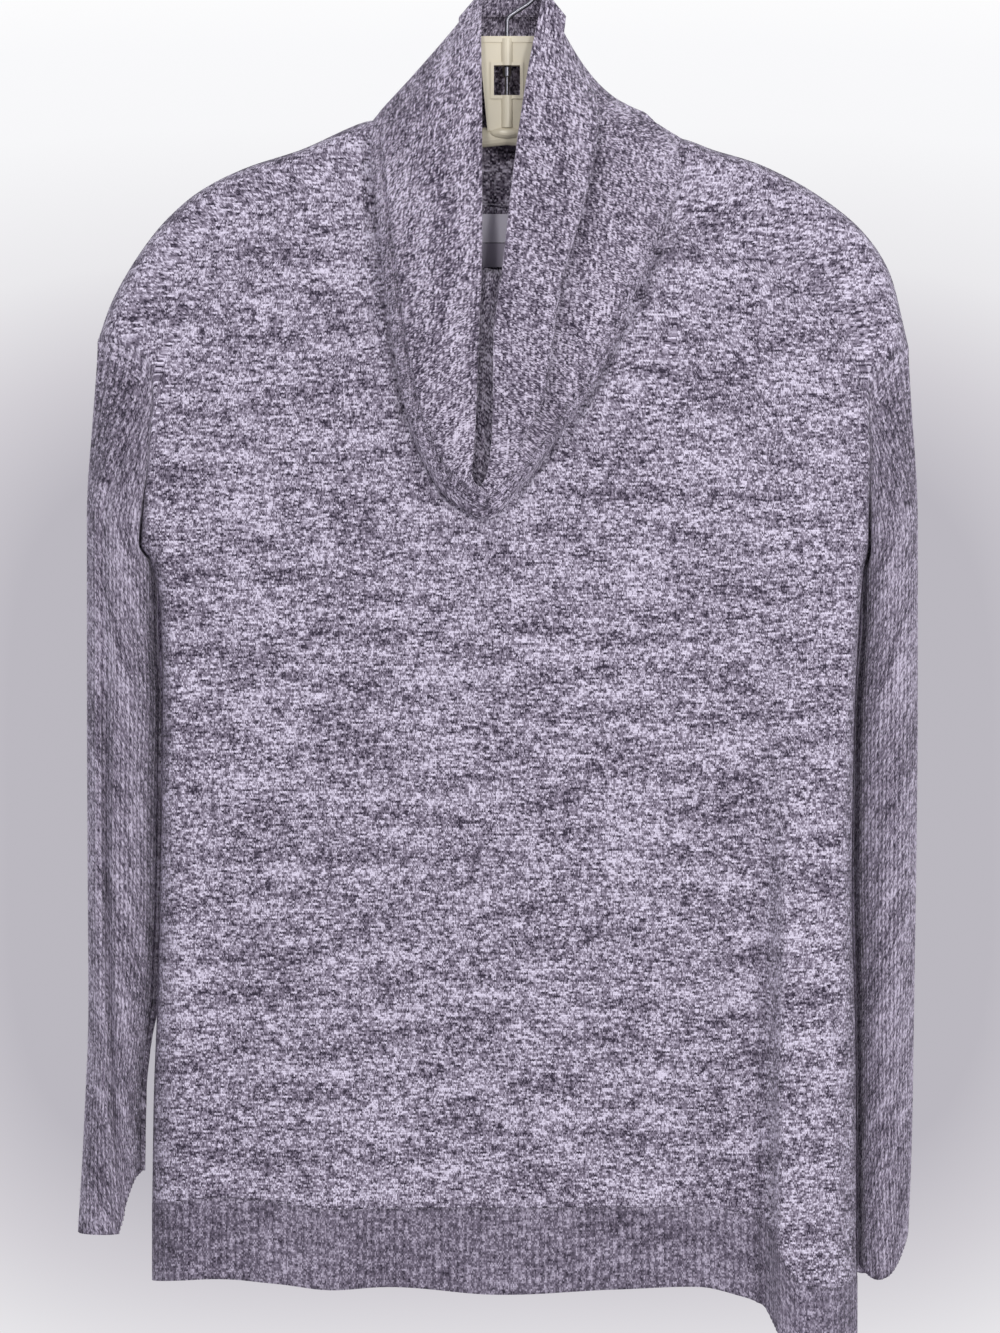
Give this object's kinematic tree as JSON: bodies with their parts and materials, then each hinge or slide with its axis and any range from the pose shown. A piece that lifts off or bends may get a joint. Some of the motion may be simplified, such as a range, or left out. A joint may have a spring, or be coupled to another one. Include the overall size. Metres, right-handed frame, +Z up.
{
  "type": "sweater on a hanger",
  "caption": "Long cowl-neck knit sweater with ribbed sleeves and hem, hanging on a plastic hanger with a wire hook.",
  "frame": {"origin": "the inside top of the wire hook, where it bears on a rail", "axes": "+Z up, +X to the viewer's right as the front is seen, +Y from the front to the back"},
  "size_m": [0.5475, 0.1127, 0.9329],
  "materials": {
    "jersey_knit": "marled lavender and mauve-grey fine jersey knit, matt and soft",
    "rib_knit": "the same marled yarn in a fine rib, a little darker",
    "woven_label": "plain woven satin tape, blank",
    "hanger_plastic": "cream moulded plastic, semi-gloss",
    "hook_steel": "bright plated steel wire"
  },
  "bodies": {
    "root": {"front_panel": "jersey_knit", "back_panel": "jersey_knit", "sleeve_left": "rib_knit", "sleeve_right": "rib_knit", "collar": "jersey_knit", "front_hem_band": "rib_knit", "back_hem_band": "rib_knit", "neck_label": "woven_label", "size_label": "woven_label", "hanger": "hanger_plastic", "hook": "hook_steel"}
  },
  "joints": []
}
